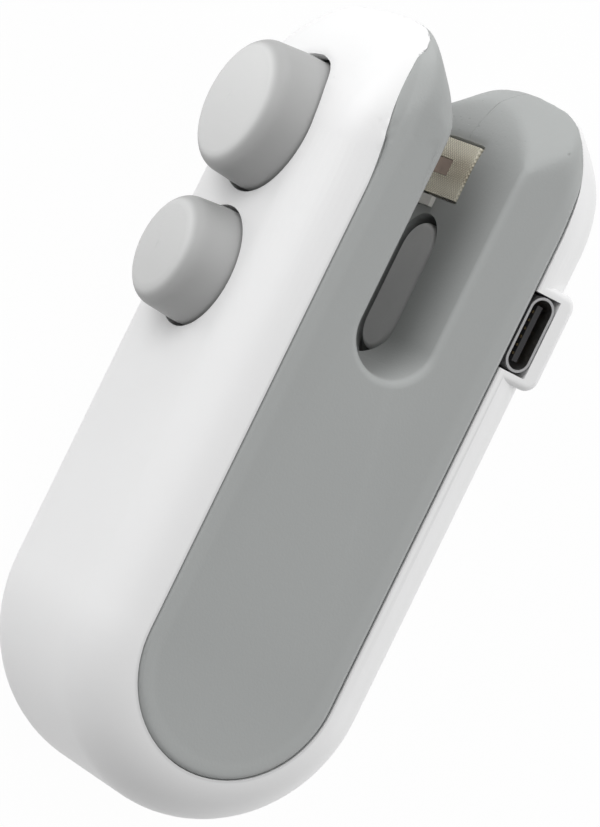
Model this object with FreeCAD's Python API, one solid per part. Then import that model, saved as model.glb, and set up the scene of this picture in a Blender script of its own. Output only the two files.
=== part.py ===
"""Hand-held bag sealer with a cutter: a palm-size body whose two jaws leave a slot for the edge of a bag.

Millimetres. X runs along the body towards the jaw tips, Y towards the push buttons, Z up through the front
cover. The body lies on its flat back cover, and the origin is the middle of that cover.
"""
import FreeCAD, Part
import math
import os

os.makedirs("parts", exist_ok=True)
Vector = FreeCAD.Vector

# ---- fits ----
seam_gap = 0.05       # between faces of pieces that are clamped together
running_gap = 0.08    # radial play of a sliding stem in its bore
moving_gap = 0.4      # air round everything else that travels
film_gap = 0.4        # left between a pressed tool and the face that it meets

# ---- body ----
body_width = 37.0
body_thickness = 30.2
edge_round = 7.1
shell_wall = 2.0

# ---- lengthways: bottom end, battery, bulkhead, slot floor, small button, large button, jaw tips ----
battery_end_room = 9.3        # from the outside of the bottom end to the cell
battery_length = 35.2
bulkhead = 9.3                # from the cell to the slot's floor
cut_button_inset = 2.6        # from the slot's floor to the small button's axis
button_spacing = 2.65         # between the two buttons' base circles
jaw_end_room = 11.63          # from the large button's base circle to the end of the outline

# ---- covers ----
side_band = 6.05              # width of the housing beside each cover
cover_bend_radius = 40.0      # the covers narrow along this arc towards the jaw tips
cover_bend_angle = 14.0       # degrees
cover_bend_start = 18.5       # from the end of the outline to the start of the arc
cover_rim_round = 0.7
cover_rim_width = 1.7
cover_rim_slope = 1.2
cover_panel_drop = 0.15
lip_overlap = 1.2
lip_thickness = 1.2

# ---- slot between the jaws ----
slot_width = 9.8
slot_offset = 0.6             # the slot's middle plane stands this far towards the buttons
slot_flare_length = 14.4      # from the start of the flare to the end of the outline
slot_flare_radius = 26.0
slot_edge_round = 1.0
slot_lining = 1.2
nose_margin = 0.3             # the noses' rounding leaves the faces this far outside them
nose_share = 0.75             # of a wall's thickness, kept at the start of the rounding
# rounded noses of the jaws: outwards from the slot's wall, (distance, setback from the end, depth of the rounding)
nose_stations = [(-5.0, 8.0, 10.0), (0.0, 6.4, 9.6), (2.2, 4.6, 8.8), (4.6, 2.6, 7.6), (8.5, 0.6, 6.2), (15.0, -1.5, 5.0)]

# ---- push buttons ----
button_height = 6.25          # from the housing's side to the top of the dome
button_draft = 5.0            # degrees
button_shoulder_round = 2.2
button_crown_radius = 26.0
button_top = 2.4
button_skirt = 1.4
button_clearance = 0.4
button_boss_depth = 5.0
button_boss_wall = 1.2
flange_lip = 0.45
flange_height = 1.0
seal_flange_drop = 2.3        # from the housing's inner face to the flange, deep enough for the round tip
cut_flange_drop = 0.5
seal_base_radius = 8.22
seal_travel = 4.6
cut_base_radius = 6.88
cut_travel = 5.0

# ---- button guide, plungers and springs ----
guide_thickness = 1.5
guide_corner = 1.5
guide_tail = 6.6              # the plate reaches this far past the axes of the two buttons
guide_nose = 7.8
guide_rib = 1.2
guide_rib_reach = 2.2
seal_stem_radius = 2.9
seal_spigot_radius = 1.9
cut_stem_radius = 2.3
cut_spigot_radius = 1.5
plunger_head_length = 10.8    # along Z
head_margin = 0.3             # step between the side of a plunger's head and its stem
head_corner = 1.0
pad_thickness = 1.4
pad_round = 0.5
seal_spring_radius = 5.0
seal_spring_wire = 0.8
cut_spring_radius = 3.9
cut_spring_wire = 0.7
spring_turns = 5
wire_sides = 8

# ---- cutter ----
blade_offset = 2.3            # from the small button's axis to the blade
blade_thickness = 0.5
blade_length = 8.6
blade_edge_height = 1.6
blade_point = 0.8
blade_seat = 3.2
cut_head_width = 4.2
cut_head_length = 10.0
cut_bridge = 1.4
blade_pin_radius = 0.6
guard_rib = 1.0
guard_reach = 4.5             # out of the slot's wall

# ---- heater ----
heater_offset = 4.35          # from the large button's axis to the middle of the strip
heater_width = 6.6
heater_length = 8.1
heater_window = 0.3
tape_thickness = 0.25
tape_proud = 0.1
ribbon_width = 1.9
ribbon_thickness = 0.12
ribbon_start = 0.3            # the bare end of the ribbon begins this far behind the middle
holder_base = 2.4
holder_length = 17.0
holder_margin = 1.4
catch_width = 1.2
catch_length = 4.2
catch_proud = 0.5
terminal_size = 3.0
terminal_thickness = 0.45
terminal_pin_radius = 0.5

# ---- anvil bar in its pocket ----
anvil_inset = 2.55            # from the slot's floor to the bar
anvil_gap = 3.2               # from the bar to the heater strip
anvil_half_width = 3.4
anvil_recess = 0.2
anvil_round = 0.6
anvil_flange = 1.2
pocket_gap = 0.9
pocket_depth = 3.0
collar_wall = 0.7

# ---- charging socket and circuit board ----
socket_from_floor = 11.55     # along the slot
socket_inset = 4.33           # from the housing's side to the socket's middle
socket_width = 8.94
socket_height = 3.2
socket_depth = 7.3
socket_sheet = 0.3
socket_recess = 0.25          # the mouth lies this far below the front
socket_clearance = 0.2
tongue_width = 6.7
tongue_thickness = 0.7
tongue_recess = 0.7
tongue_root = 1.6
contact_count = 6
contact_pitch = 1.0
contact_width = 0.3
contact_length = 3.3
contact_thickness = 0.07
boss_wall = 2.3
boss_end_wall = 1.4
boss_corner = 1.6
boss_top_round = 0.8
boss_height = 3.9
board_thickness = 1.0
board_corner = 1.0
board_overhang = 3.9          # past the cell's end and past the heater's middle
board_margin = 4.3            # from the outside of the front and back to the board's edges
# parts on the board: (from its start, from its lower edge, length, height, thickness), inner face first
inner_chips = [(3.4, 13.9, 5.0, 5.0, 1.1), (10.4, 3.7, 2.0, 4.0, 0.9), (3.9, 1.9, 1.0, 2.0, 0.6), (6.0, 9.0, 1.0, 2.0, 0.6)]
outer_chips = [(8.0, 7.7, 7.0, 7.0, 2.8), (2.4, 2.7, 4.0, 4.0, 1.4), (33.4, 3.7, 2.0, 3.0, 1.0)]

# ---- key and its lead ----
key_width = 4.0
key_plunger = 0.7
key_cap = 0.4
key_depth = 1.4
lead_radius = 0.6
lead_bend = 4.0
lead_room = 1.0               # from the cell's tab to the middle of the lead

# ---- battery ----
battery_diameter = 18.3
cell_groove = 0.5
cell_groove_width = 0.6
cell_button_radius = 3.6
cell_button_height = 0.9
saddle_width = 2.4
saddle_half = 8.0
saddle_hold = 2.4
pad_foam = 0.8
foam_half = 6.0
tab_width = 5.0
tab_thickness = 0.25
tab_top = 3.0

# ---- ribs and fasteners ----
clamp_rib = 1.2
clamp_rib_depth = 1.0
anvil_rib_reach = 7.4
holder_rib_reach = 5.6
board_rib = 1.5
board_rib_reach = 3.2
post_radius = 3.0
post_room = 0.75              # from the cell to the post beside it
screw_radius = 1.0
screw_play = 0.15
screw_head_radius = 1.9
screw_head_height = 1.4
screw_head_round = 0.5
screw_cross = 0.4
screw_cross_depth = 0.7
screw_length = 11.0
screw_clamp = 6.1             # thickness of post under the screw's head
pin_radius = 1.2
pin_post_radius = 2.2
pin_length = 3.0
pin_from_button = 11.6        # along the jaw
pin_from_slot = 5.2           # outwards from the slot's wall

# ---- places that follow from the sizes ----
half_width = body_width / 2
middle = body_thickness / 2
button_pitch = seal_base_radius + button_spacing + cut_base_radius
slot_length = cut_button_inset + button_pitch + seal_base_radius + jaw_end_room
body_length = battery_end_room + battery_length + bulkhead + slot_length
far = body_length
tip_x = body_length / 2
end_centre = tip_x - half_width
battery_start_x = battery_end_room - tip_x
battery_end_x = battery_start_x + battery_length
slot_floor_x = battery_end_x + bulkhead
cut_x = slot_floor_x + cut_button_inset
seal_x = cut_x + button_pitch
blade_x = cut_x + blade_offset
heater_x = seal_x + heater_offset
slot_flare_x = tip_x - slot_flare_length
cover_half_width = half_width - side_band

slot_half = slot_width / 2
button_wall_y = slot_offset + slot_half
heater_wall_y = slot_offset - slot_half
inner_wall_y = half_width - shell_wall
lining_left_y = button_wall_y + slot_lining
lining_right_y = heater_wall_y - slot_lining
guide_low_y = lining_left_y + seam_gap
guide_high_y = guide_low_y + guide_thickness
guide_start_x = cut_x - guide_tail
guide_end_x = seal_x + guide_nose
seal_flange_y = inner_wall_y - seal_flange_drop - flange_height
cut_flange_y = inner_wall_y - cut_flange_drop - flange_height
cap_under_y = half_width + button_height - button_top
boss_low_y = cap_under_y - button_boss_depth

anvil_start_x = slot_floor_x + anvil_inset
anvil_end_x = heater_x - heater_width / 2 - anvil_gap
anvil_low_x = anvil_start_x + anvil_half_width
anvil_high_x = anvil_end_x - anvil_half_width
anvil_face_y = heater_wall_y - anvil_recess
anvil_back_y = heater_wall_y - pocket_depth - seam_gap
anvil_rear_y = anvil_back_y - anvil_flange
pocket_radius = anvil_half_width + pocket_gap
collar_radius = pocket_radius + collar_wall
catch_x0 = anvil_high_x + collar_radius + seam_gap

holder_front_y = lining_right_y - seam_gap
holder_rear_y = holder_front_y - holder_base
tape_face_y = heater_wall_y + tape_proud
tape_back_y = tape_face_y - tape_thickness
strap_half = heater_length / 2 - tape_thickness

pad_face_y = tape_face_y + film_gap + seal_travel
blade_tip_y = anvil_face_y + film_gap + cut_travel
blade_root_y = blade_tip_y + blade_edge_height
head_high_y = guide_low_y - moving_gap
seal_head_low_y = pad_face_y + pad_thickness
seal_head_x0 = seal_x - seal_stem_radius - head_margin
seal_head_x1 = heater_x + heater_width / 2 + head_margin
cut_head_x0 = cut_x - cut_stem_radius + head_margin
cut_head_x1 = blade_x + cut_head_width / 2
pin_hole_y = blade_root_y + blade_seat / 2

socket_x = slot_floor_x + socket_from_floor
socket_y = socket_inset - half_width
socket_top = body_thickness - socket_recess
board_outer_y = socket_y + socket_height / 2
board_inner_y = board_outer_y + board_thickness
board_start_x = battery_end_x - board_overhang
board_end_x = heater_x + board_overhang - seam_gap

lead_y = guide_low_y + lead_radius
lead_z = board_margin + lead_radius
key_x0 = seal_x - key_width / 2
key_x1 = seal_x + key_width / 2
key_high_z = middle - seal_base_radius + flange_lip + key_depth

screw_seat_z = middle - screw_clamp
saddle_x = [battery_start_x + battery_length * share for share in (0.15, 0.5, 0.85)]
screw_x = [battery_start_x - post_room - post_radius, slot_floor_x - slot_lining - post_radius]
pin_x = seal_x + pin_from_button
pin_spots = [(pin_x, button_wall_y + pin_from_slot), (pin_x, heater_wall_y - pin_from_slot)]


def box(x0, x1, y0, y1, z0, z1):
    return Part.makeBox(x1 - x0, y1 - y0, z1 - z0, Vector(x0, y0, z0))


def rod(x, z, radius, y0, y1):
    """A round bar along Y."""
    return Part.makeCylinder(radius, y1 - y0, Vector(x, y0, z), Vector(0, 1, 0))


def post(x, y, radius, z0, z1):
    """A round bar along Z."""
    return Part.makeCylinder(radius, z1 - z0, Vector(x, y, z0), Vector(0, 0, 1))


def bar_along(x0, x1, radius, y=0.0):
    """A round bar along X at the middle of the thickness."""
    return Part.makeCylinder(radius, x1 - x0, Vector(x0, y, middle), Vector(1, 0, 0))


def arc(start, through, end):
    return Part.Arc(Vector(*start), Vector(*through), Vector(*end)).toShape()


def line(start, end):
    return Part.LineSegment(Vector(*start), Vector(*end)).toShape()


def face_of(edges):
    return Part.Face(Part.Wire(Part.__sortEdges__(edges)))


def polygon(corners):
    return face_of([line(a, b) for a, b in zip(corners, corners[1:] + corners[:1])])


def join(shapes):
    whole = shapes[0]
    if len(shapes) > 1:
        whole = whole.multiFuse(shapes[1:])
    return whole.removeSplitter()


def span(edge, axis):
    """How far an edge reaches along one axis."""
    around = edge.BoundBox
    return {"x": around.XLength, "y": around.YLength, "z": around.ZLength}[axis]


def stadium(radius, x0, x1, z0, z1):
    """A flat-sided bar with round ends, its axis lines at x0 and x1, standing from z0 to z1."""
    edges = [
        line((x0, -radius, z0), (x1, -radius, z0)),
        arc((x1, -radius, z0), (x1 + radius, 0, z0), (x1, radius, z0)),
        line((x1, radius, z0), (x0, radius, z0)),
        arc((x0, radius, z0), (x0 - radius, 0, z0), (x0, -radius, z0)),
    ]
    return face_of(edges).extrude(Vector(0, 0, z1 - z0))


def side_stadium(radius, x0, x1, y0, y1):
    """The same bar lying across the body, from y0 to y1, round the middle of the thickness."""
    bar = stadium(radius, x0, x1, 0, y1 - y0)
    bar.rotate(Vector(0, 0, 0), Vector(1, 0, 0), 90)
    bar.translate(Vector(0, y1, middle))
    return bar


def nose_section(y, nose_x, depth, half_height):
    """The space in front of a jaw's nose in one plane across Y: its inner side is half an ellipse."""
    start_x = nose_x - depth
    low = middle - half_height
    high = middle + half_height
    beyond = body_thickness
    ellipse = Part.Ellipse(Vector(0, 0, 0), max(depth, half_height), min(depth, half_height))
    arc_of = Part.Arc(ellipse, -math.pi / 2, math.pi / 2)
    if half_height > depth:
        arc_of = Part.Arc(ellipse, 0, math.pi)
    nose = arc_of.toShape()
    nose.rotate(Vector(0, 0, 0), Vector(1, 0, 0), 90)
    if half_height > depth:
        nose.rotate(Vector(0, 0, 0), Vector(0, 1, 0), 90)
    nose.translate(Vector(start_x, y, middle))
    edges = [
        nose,
        line((start_x, y, high), (start_x, y, high + beyond)),
        line((start_x, y, high + beyond), (far, y, high + beyond)),
        line((far, y, high + beyond), (far, y, low - beyond)),
        line((far, y, low - beyond), (start_x, y, low - beyond)),
        line((start_x, y, low - beyond), (start_x, y, low)),
    ]
    return Part.Wire(Part.__sortEdges__(edges))


def nose_space(inset):
    """The space in front of both jaws' rounded noses, moved inwards by inset."""
    sections = []
    for distance, setback, depth in nose_stations:
        y = slot_half + distance
        sections.append(nose_section(y, tip_x - setback - inset, depth, middle + nose_margin - inset * nose_share))
    upper = Part.makeLoft(sections, True, False)
    lower = upper.mirror(Vector(0, 0, 0), Vector(0, 1, 0))
    both = upper.fuse(lower)
    both.translate(Vector(0, slot_offset, 0))
    return both


def body_form(inset):
    """The whole outside, moved inwards by inset all round."""
    form = stadium(half_width - inset, -end_centre, end_centre, inset, body_thickness - inset)
    rims = [e for e in form.Edges if span(e, "z") < 1e-6]
    return form.makeFillet(edge_round - inset, rims).cut(nose_space(inset))


def cover_bend(radius):
    """The covers' outline where it narrows: start, arc radius, and the end of the arc."""
    start_x = tip_x - cover_bend_start
    bend = cover_bend_radius + radius - cover_half_width
    turn = math.radians(cover_bend_angle)
    return start_x, bend, start_x + bend * math.sin(turn), radius - bend + bend * math.cos(turn)


def cover_zone(radius, z0, z1):
    """Upright walls of the covers' outline: round at the bottom end, narrowing towards the jaw tips."""
    start_x, bend, end_x, end_y = cover_bend(radius)
    turn = math.radians(cover_bend_angle)
    mid_x = start_x + bend * math.sin(turn / 2)
    mid_y = radius - bend + bend * math.cos(turn / 2)
    last_x = tip_x + 1
    last_y = end_y - (last_x - end_x) * math.tan(turn)
    edges = [
        arc((-end_centre, radius, z0), (-end_centre - radius, 0, z0), (-end_centre, -radius, z0)),
        line((last_x, -last_y, z0), (last_x, last_y, z0)),
    ]
    for side in (-1, 1):
        edges.append(line((-end_centre, side * radius, z0), (start_x, side * radius, z0)))
        edges.append(arc((start_x, side * radius, z0), (mid_x, side * mid_y, z0), (end_x, side * end_y, z0)))
        edges.append(line((end_x, side * end_y, z0), (last_x, side * last_y, z0)))
    return face_of(edges).extrude(Vector(0, 0, z1 - z0))


def slot_form(grow):
    """The space of the slot, moved outwards by grow: a round floor, parallel walls and flared tips."""
    half = slot_half + grow
    radius = slot_flare_radius - grow
    floor_centre = slot_floor_x + slot_half
    side = slot_half + slot_flare_radius
    turn = math.asin((tip_x - slot_flare_x) / radius)
    mid_x = slot_flare_x + radius * math.sin(turn / 2)
    mid_y = side - radius * math.cos(turn / 2)
    end_y = side - radius * math.cos(turn)
    edges = [
        arc((floor_centre, half, 0), (floor_centre - half, 0, 0), (floor_centre, -half, 0)),
        line((tip_x, -end_y, 0), (tip_x, end_y, 0)),
    ]
    for y_side in (-1, 1):
        edges.append(line((floor_centre, y_side * half, 0), (slot_flare_x, y_side * half, 0)))
        edges.append(arc((slot_flare_x, y_side * half, 0), (mid_x, y_side * mid_y, 0), (tip_x, y_side * end_y, 0)))
    space = face_of(edges).extrude(Vector(0, 0, body_thickness))
    space.translate(Vector(0, slot_offset, 0))
    return space


def panel_profile(x, radius):
    """Half of the front cover's cross-section, from its middle line to its edge."""
    top = body_thickness
    crest = radius - cover_rim_width
    valley = crest - cover_rim_slope
    rim_low = top - cover_rim_round
    turn = cover_rim_round * math.cos(math.radians(45))
    rim_mid = (x, radius - cover_rim_round + turn, rim_low + turn)
    edges = [
        line((x, 0, middle), (x, radius, middle)),
        line((x, radius, middle), (x, radius, rim_low)),
        arc((x, radius, rim_low), rim_mid, (x, radius - cover_rim_round, top)),
        line((x, radius - cover_rim_round, top), (x, crest, top)),
        line((x, crest, top), (x, valley, top - cover_panel_drop)),
        line((x, valley, top - cover_panel_drop), (x, 0, top - cover_panel_drop)),
        line((x, 0, top - cover_panel_drop), (x, 0, middle)),
    ]
    return face_of(edges)


def panel_form(radius):
    """The front cover's outside: a rim with a rounded edge, carried round a slightly sunk panel."""
    start_x, bend, _, _ = cover_bend(radius)
    bend_centre = Vector(start_x, radius - bend, 0)
    turn = math.radians(cover_bend_angle)
    bottom_end = panel_profile(-end_centre, radius).revolve(Vector(-end_centre, 0, 0), Vector(0, 0, 1), 180)
    run = panel_profile(-end_centre, radius).extrude(Vector(start_x + end_centre, 0, 0))
    curve = panel_profile(start_x, radius).revolve(bend_centre, Vector(0, 0, -1), cover_bend_angle)
    last = panel_profile(start_x, radius)
    last.rotate(bend_centre, Vector(0, 0, -1), cover_bend_angle)
    last = last.extrude(Vector(math.cos(turn), -math.sin(turn), 0) * far)
    side = join([run, curve, last])
    return join([bottom_end, side, side.mirror(Vector(0, 0, 0), Vector(0, 1, 0))])


def slot_edge_profile(x, face_z, way):
    """What the rounded edge between the slot and a cover's face takes away, as half a section across the slot."""
    outer = slot_half + slot_edge_round
    low = face_z - way * slot_edge_round
    high = face_z + way
    reach = slot_edge_round * math.cos(math.radians(45))
    return face_of([
        arc((x, slot_half, low), (x, outer - reach, low + way * reach), (x, outer, face_z)),
        line((x, outer, face_z), (x, outer, high)),
        line((x, outer, high), (x, 0, high)),
        line((x, 0, high), (x, 0, low)),
        line((x, 0, low), (x, slot_half, low)),
    ])


def slot_edge(face_z, way):
    """The rounding carried round the slot's floor, along both walls and along the flare."""
    up = Vector(0, 0, 1)
    floor_centre = slot_floor_x + slot_half
    turn = math.degrees(math.asin((tip_x - slot_flare_x) / slot_flare_radius))
    flare_centre = Vector(slot_flare_x, slot_half + slot_flare_radius, 0)
    floor = slot_edge_profile(floor_centre, face_z, way).revolve(Vector(floor_centre, 0, 0), up, 180)
    run = slot_edge_profile(floor_centre, face_z, way).extrude(Vector(slot_flare_x - floor_centre, 0, 0))
    flare = slot_edge_profile(slot_flare_x, face_z, way).revolve(flare_centre, up, turn)
    side = join([run, flare])
    whole = join([floor, side, side.mirror(Vector(0, 0, 0), Vector(0, 1, 0))])
    whole.translate(Vector(0, slot_offset, 0))
    return whole


def cover_body(front):
    """One cover before the openings in its lining are cut."""
    radius = cover_half_width - seam_gap
    low = middle + seam_gap / 2 if front else 0
    high = body_thickness if front else middle - seam_gap / 2
    outside = body_form(0)
    if front:
        outside = outside.common(panel_form(radius))
    outside = outside.common(cover_zone(radius, low, high)).cut(slot_form(0))
    edge = slot_edge(body_thickness - cover_panel_drop, 1) if front else slot_edge(0, -1)
    outside = outside.cut(edge)
    hollow = body_form(shell_wall).cut(slot_form(slot_lining))
    shell = outside.cut(hollow)
    inner = cover_zone(radius - shell_wall, low, high)
    ring_in = body_form(shell_wall / 2).cut(body_form(shell_wall + lip_thickness))
    ring_in = ring_in.common(cover_zone(radius, low, high)).cut(inner)
    ring_out = body_form(shell_wall + seam_gap).cut(body_form(shell_wall + lip_thickness))
    ring_out = ring_out.common(cover_zone(radius + lip_overlap, low, high)).cut(inner)
    lip = join([ring_in, ring_out]).cut(slot_form(0))
    return join([shell, lip])


def cover_room():
    """Where a cover may have material: under the housing's wall it keeps the seam's gap."""
    zone = cover_zone(cover_half_width - seam_gap, 0, body_thickness)
    return body_form(shell_wall / 2).common(zone).fuse(body_form(shell_wall + seam_gap))


def rib_rows():
    """Ribs inside each cover, as (x, thickness, y0, y1, reach) with reach measured off the inner face."""
    rows = []
    for x in (cut_x - cut_base_radius / 2, (cut_x + seal_x) / 2, seal_x + seal_base_radius * 0.7):
        rows.append((x, guide_rib, guide_high_y + seam_gap, guide_high_y + guide_rib, guide_rib_reach))
    for x in (anvil_low_x, anvil_high_x):
        rows.append((x, clamp_rib, anvil_rear_y - clamp_rib_depth, anvil_rear_y - seam_gap, anvil_rib_reach))
    for side in (-1, 1):
        x = heater_x + side * ribbon_width
        rows.append((x, clamp_rib, holder_rear_y - clamp_rib_depth, holder_rear_y - seam_gap, holder_rib_reach))
    for x in (board_start_x + board_rib, cut_x):
        rows.append((x, board_rib, board_inner_y + seam_gap, board_inner_y + clamp_rib_depth, board_rib_reach))
        rows.append((x, board_rib, board_outer_y - clamp_rib_depth, board_outer_y - seam_gap, board_rib_reach))
    return rows


def ribs(front, rows, room):
    made = []
    for x, width, y0, y1, reach in rows:
        low = body_thickness - shell_wall - reach if front else 0
        high = body_thickness if front else shell_wall + reach
        made.append(box(x - width / 2, x + width / 2, y0, y1, low, high).common(room))
    return made


def fittings(front, low, high):
    """What is moulded on the inside of a cover: collar, blade guard, ribs, cell saddles, posts."""
    room = cover_room()
    half_space = box(-far, far, -far, far, low, high)
    collar = side_stadium(collar_radius, anvil_low_x, anvil_high_x, heater_wall_y - pocket_depth, lining_right_y + seam_gap)
    guard_x0 = cut_head_x1 + moving_gap
    guard_half = cut_head_length / 2
    guard = box(guard_x0, guard_x0 + guard_rib, button_wall_y - guard_reach, lining_left_y - seam_gap,
                middle - guard_half, middle + guard_half)
    made = [collar.common(half_space), guard.common(half_space)] + ribs(front, rib_rows(), room)
    cell = bar_along(battery_start_x, battery_end_x, battery_diameter / 2 + pad_foam)
    reach = middle - shell_wall - battery_diameter / 2 + saddle_hold
    rows = [(x, saddle_width, -saddle_half, saddle_half, reach) for x in saddle_x]
    made += [saddle.cut(cell) for saddle in ribs(front, rows, room)]
    made += [post(x, 0, post_radius, low, high).common(room) for x in screw_x]
    for x, y in pin_spots:
        made.append(post(x, y, pin_post_radius, low, high).common(room).cut(slot_form(slot_lining / 2)))
    return made


def cover_cuts():
    """Openings through the lining for the bar, the heater, its catch and the two plungers."""
    window_x = heater_width / 2 + heater_window
    window_z = heater_length / 2 + heater_window
    catch_z = middle - ribbon_start - catch_length
    seal_half = plunger_head_length / 2 + moving_gap
    cut_half = cut_head_length / 2 + moving_gap
    pocket_back_y = heater_wall_y - pocket_depth - anvil_flange
    return [
        side_stadium(pocket_radius, anvil_low_x, anvil_high_x, pocket_back_y, slot_offset),
        box(heater_x - window_x, heater_x + window_x, holder_front_y - seam_gap, slot_offset,
            middle - window_z, middle + window_z),
        box(catch_x0 - seam_gap, catch_x0 + catch_width + seam_gap, holder_front_y - seam_gap, slot_offset,
            catch_z - seam_gap, catch_z + catch_length + seam_gap),
        box(seal_head_x0 - moving_gap, seal_head_x1 + moving_gap, slot_offset + 1.0, guide_low_y + seam_gap,
            middle - seal_half, middle + seal_half),
        box(cut_x - cut_stem_radius - moving_gap, cut_head_x1 + moving_gap, slot_offset, guide_low_y + seam_gap,
            middle - cut_half, middle + cut_half),
    ]


def cover(front):
    """A finished cover: shell, lining, seats for everything between the covers, posts and pins."""
    low = middle + seam_gap / 2 if front else 0
    high = body_thickness if front else middle - seam_gap / 2
    whole = join([cover_body(front)] + fittings(front, low, high))
    for opening in cover_cuts():
        whole = whole.cut(opening)
    for x in screw_x:
        if front:
            whole = whole.cut(post(x, 0, screw_radius, middle, screw_seat_z + screw_length + screw_play))
        else:
            whole = whole.cut(post(x, 0, screw_radius + screw_play, 0, middle))
            whole = whole.cut(post(x, 0, screw_head_radius + screw_play, 0, screw_seat_z))
    for x, y in pin_spots:
        if front:
            whole = join([whole, post(x, y, pin_radius, middle - pin_length, middle + 1.0)])
        else:
            whole = whole.cut(post(x, y, pin_radius + seam_gap, middle - pin_length - screw_play, middle))
    return whole.cut(socket_block(seam_gap))


def socket_block(grow):
    """The raised block round the charging socket, with rounded upright corners."""
    half_x = socket_width / 2 + boss_end_wall + grow
    y0 = socket_y - socket_height / 2 - boss_wall - grow
    y1 = -cover_half_width + grow
    top = socket_top + (1.0 if grow else 0)
    block = box(socket_x - half_x, socket_x + half_x, y0, y1, body_thickness - boss_height - grow, top)
    corners = [e for e in block.Edges if span(e, "z") > 1 and e.BoundBox.YMax < y0 + 1e-6]
    block = block.makeFillet(boss_corner, corners)
    if grow:
        return block
    rim = [e for e in block.Edges if e.BoundBox.ZMin > top - 1e-6 and e.BoundBox.YMin < y1 - 1e-3]
    return block.makeFillet(boss_top_round, rim)


def housing():
    """The white side shell: one U-shaped wall, two button holes and the block round the socket."""
    shell = body_form(0).cut(body_form(shell_wall))
    shell = join([shell, socket_block(0)]).cut(cover_zone(cover_half_width, 0, body_thickness))
    for x, radius in ((seal_x, seal_base_radius), (cut_x, cut_base_radius)):
        shell = shell.cut(rod(x, middle, radius + button_clearance, seal_flange_y, half_width + 1))
    half_x = socket_width / 2 + socket_clearance
    y0 = socket_y - socket_height / 2 - socket_clearance
    notch = box(socket_x - half_x, socket_x + half_x, y0, 0, body_thickness - boss_height - 1, body_thickness + 1)
    return shell.cut(notch)


def cap_profile(x, base_radius, flange_low_y):
    """A button's half section: flange, drafted side, rounded shoulder and domed top, tangent to one another."""
    draft = math.radians(button_draft)
    outwards = Vector(math.cos(draft), math.sin(draft), 0)
    upwards = Vector(-math.sin(draft), math.cos(draft), 0)
    dome_centre = Vector(0, half_width + button_height - button_crown_radius, 0)
    start = Vector(base_radius, half_width, 0) - outwards * button_shoulder_round - dome_centre
    reach = button_crown_radius - button_shoulder_round
    along = start.dot(upwards)
    run = math.sqrt(along ** 2 - start.dot(start) + reach ** 2) - along
    centre = dome_centre + start + upwards * run
    to_dome = (centre - dome_centre).normalize()
    between = (outwards + to_dome).normalize()
    flange_radius = base_radius + button_clearance + flange_lip
    flange_high_y = flange_low_y + flange_height
    side_end = centre + outwards * button_shoulder_round
    dome_start = centre + to_dome * button_shoulder_round
    dome_mid = Vector(0, 1, 0) * button_crown_radius + to_dome * button_crown_radius
    dome_mid = dome_centre + dome_mid.normalize() * button_crown_radius
    top = (0, half_width + button_height, 0)
    base = [(0, flange_low_y, 0), (flange_radius, flange_low_y, 0), (flange_radius, flange_high_y, 0),
            (base_radius, flange_high_y, 0), (base_radius, half_width, 0), tuple(side_end)]
    edges = [line(a, b) for a, b in zip(base, base[1:])]
    edges.append(arc(tuple(side_end), tuple(centre + between * button_shoulder_round), tuple(dome_start)))
    edges.append(arc(tuple(dome_start), tuple(dome_mid), top))
    edges.append(line(top, base[0]))
    profile = face_of(edges)
    profile.translate(Vector(x, 0, middle))
    return profile


def button_cap(x, base_radius, spigot_radius, flange_low_y):
    """A push button with a hollow skirt and a socket for its plunger's spigot."""
    outer = cap_profile(x, base_radius, flange_low_y).revolve(Vector(x, 0, middle), Vector(0, 1, 0), 360)
    top_radius = base_radius - button_height * math.tan(math.radians(button_draft))
    hollow = rod(x, middle, top_radius - button_skirt, flange_low_y - 1, cap_under_y)
    hollow = hollow.cut(rod(x, middle, spigot_radius + button_boss_wall, boss_low_y, cap_under_y + 1))
    return outer.cut(hollow).cut(rod(x, middle, spigot_radius + seam_gap / 2, boss_low_y - 1, cap_under_y))


def stem(x, stem_radius, spigot_radius):
    """The round part of a plunger: a guided stem and a thinner spigot that is pressed into the button."""
    shaft = rod(x, middle, stem_radius, head_high_y - seam_gap, boss_low_y - seam_gap)
    spigot = rod(x, middle, spigot_radius, boss_low_y - seam_gap, cap_under_y - seam_gap)
    return [shaft, spigot]


def seal_plunger():
    half = plunger_head_length / 2
    head = box(seal_head_x0, seal_head_x1, seal_head_low_y, head_high_y, middle - half, middle + half)
    head = head.makeFillet(head_corner, [e for e in head.Edges if span(e, "y") > 1])
    return join([head] + stem(seal_x, seal_stem_radius, seal_spigot_radius))


def seal_pad():
    """Silicone face that presses the bag on the heater: a flat strip with rounded long edges."""
    half = plunger_head_length / 2
    x0 = heater_x - heater_width / 2
    pad = box(x0, seal_head_x1, pad_face_y, seal_head_low_y - seam_gap / 2, middle - half, middle + half)
    return pad.makeFillet(pad_round, [e for e in pad.Edges if e.BoundBox.YMax < pad_face_y + 1e-6])


def blade_carrier():
    """The small button's plunger: a bridge beside the stem and a slotted jaw that holds the blade."""
    half = cut_head_length / 2
    jaw_x0 = blade_x - cut_head_width / 2
    bridge = box(cut_head_x0, cut_head_x1, head_high_y - cut_bridge, head_high_y, middle - half, middle + half)
    jaw = box(jaw_x0, cut_head_x1, blade_root_y, head_high_y, middle - half, middle + half)
    body = join([bridge, jaw] + stem(cut_x, cut_stem_radius, cut_spigot_radius))
    gap = blade_thickness / 2 + seam_gap / 2
    seat_half = blade_length / 2 + seam_gap
    seat_y = blade_root_y + blade_seat + seam_gap
    body = body.cut(box(blade_x - gap, blade_x + gap, blade_root_y - 1, seat_y, middle - seat_half, middle + seat_half))
    return body.cut(bar_along(jaw_x0 - 1, cut_head_x1 + 1, blade_pin_radius + seam_gap / 2, pin_hole_y))


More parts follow.
